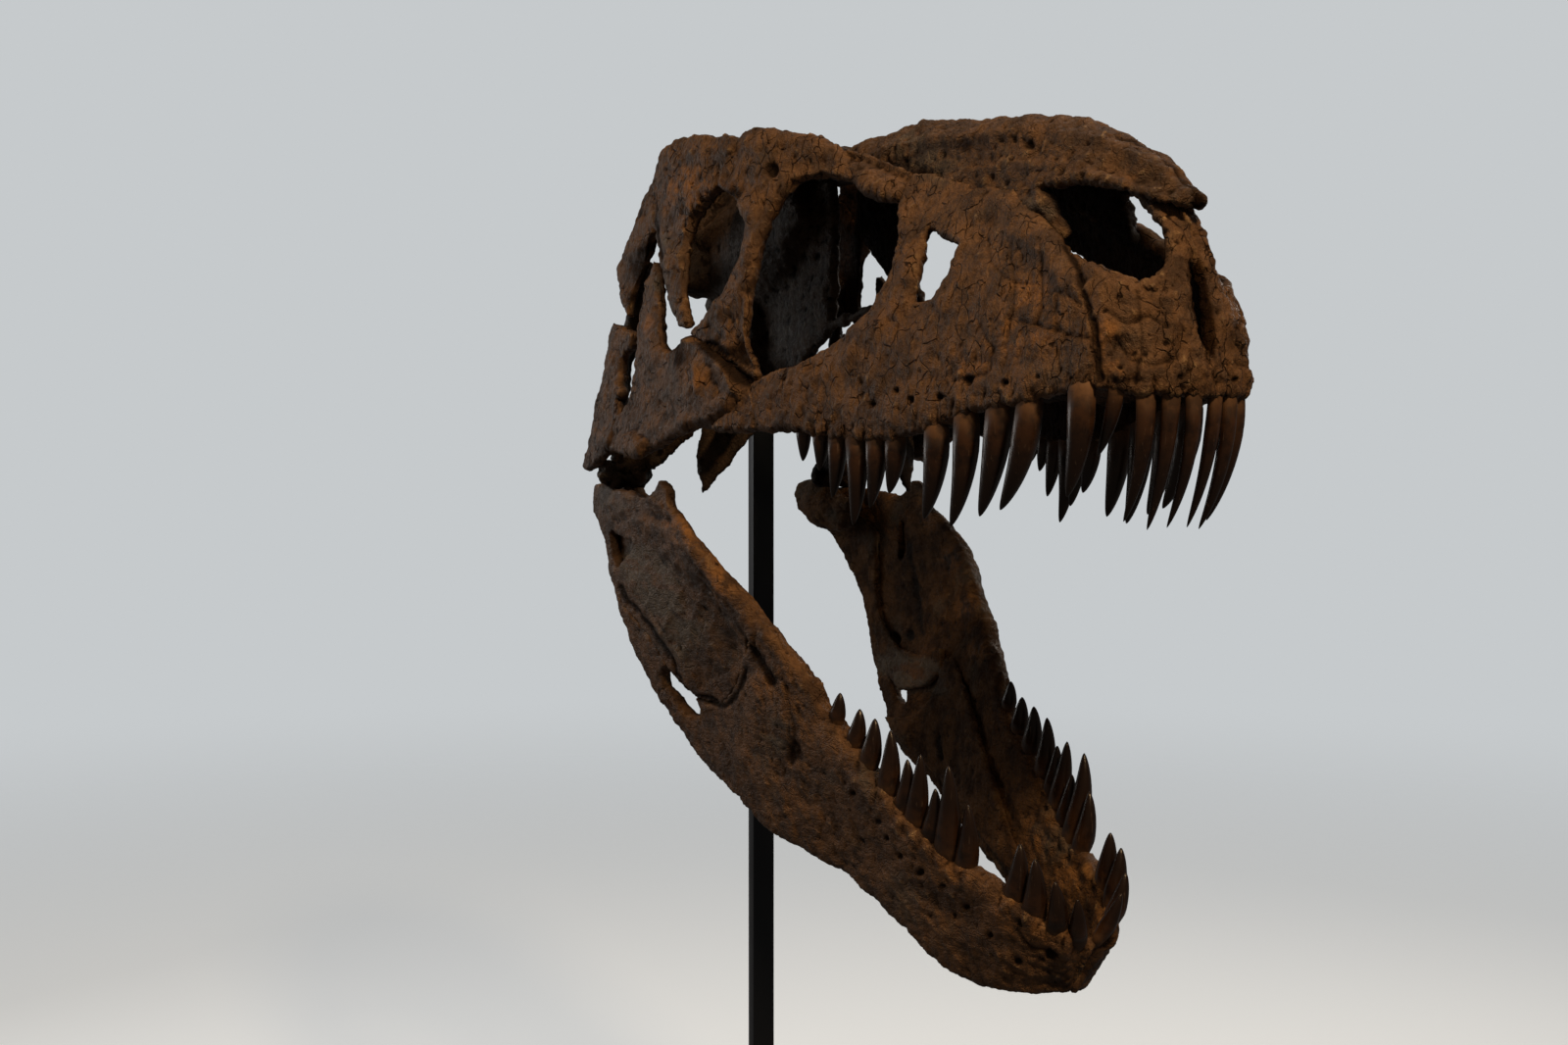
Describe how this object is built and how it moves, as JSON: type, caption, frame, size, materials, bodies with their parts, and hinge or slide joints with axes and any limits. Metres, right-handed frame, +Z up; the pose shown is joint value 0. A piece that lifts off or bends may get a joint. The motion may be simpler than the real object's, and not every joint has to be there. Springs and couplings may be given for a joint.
{
  "type": "mounted dinosaur skull",
  "caption": "Skull of a large meat-eating dinosaur with gaping toothed jaws, held on a square steel post with a round base.",
  "frame": {"origin": "centre of the underside of the round base, on the post's axis", "axes": "+X towards the snout, +Y to the skull's left, +Z up along the post"},
  "size_m": [1.2155, 0.6, 1.8638],
  "materials": {
    "bone": "painted bone cast, satin",
    "black_steel": "black satin paint"
  },
  "bodies": {
    "root": {"angular_left": "bone", "angular_right": "bone", "articular_left": "bone", "articular_right": "bone", "base_plate": "black_steel", "braincase": "bone", "dentary_left": "bone", "dentary_right": "bone", "jugal_left": "bone", "jugal_right": "bone", "lacrimal_left": "bone", "lacrimal_right": "bone", "maxilla_left": "bone", "maxilla_right": "bone", "nasals": "bone", "palatine_left": "bone", "palatine_right": "bone", "post": "black_steel", "postorbital_left": "bone", "postorbital_right": "bone", "prearticular_left": "bone", "prearticular_right": "bone", "premaxilla_left": "bone", "premaxilla_right": "bone", "pterygoid_left": "bone", "pterygoid_right": "bone", "quadrate_left": "bone", "quadrate_right": "bone", "quadratojugal_left": "bone", "quadratojugal_right": "bone", "splenial_left": "bone", "splenial_right": "bone", "squamosal_left": "bone", "squamosal_right": "bone", "surangular_left": "bone", "surangular_right": "bone", "vomer": "bone"}
  },
  "joints": []
}
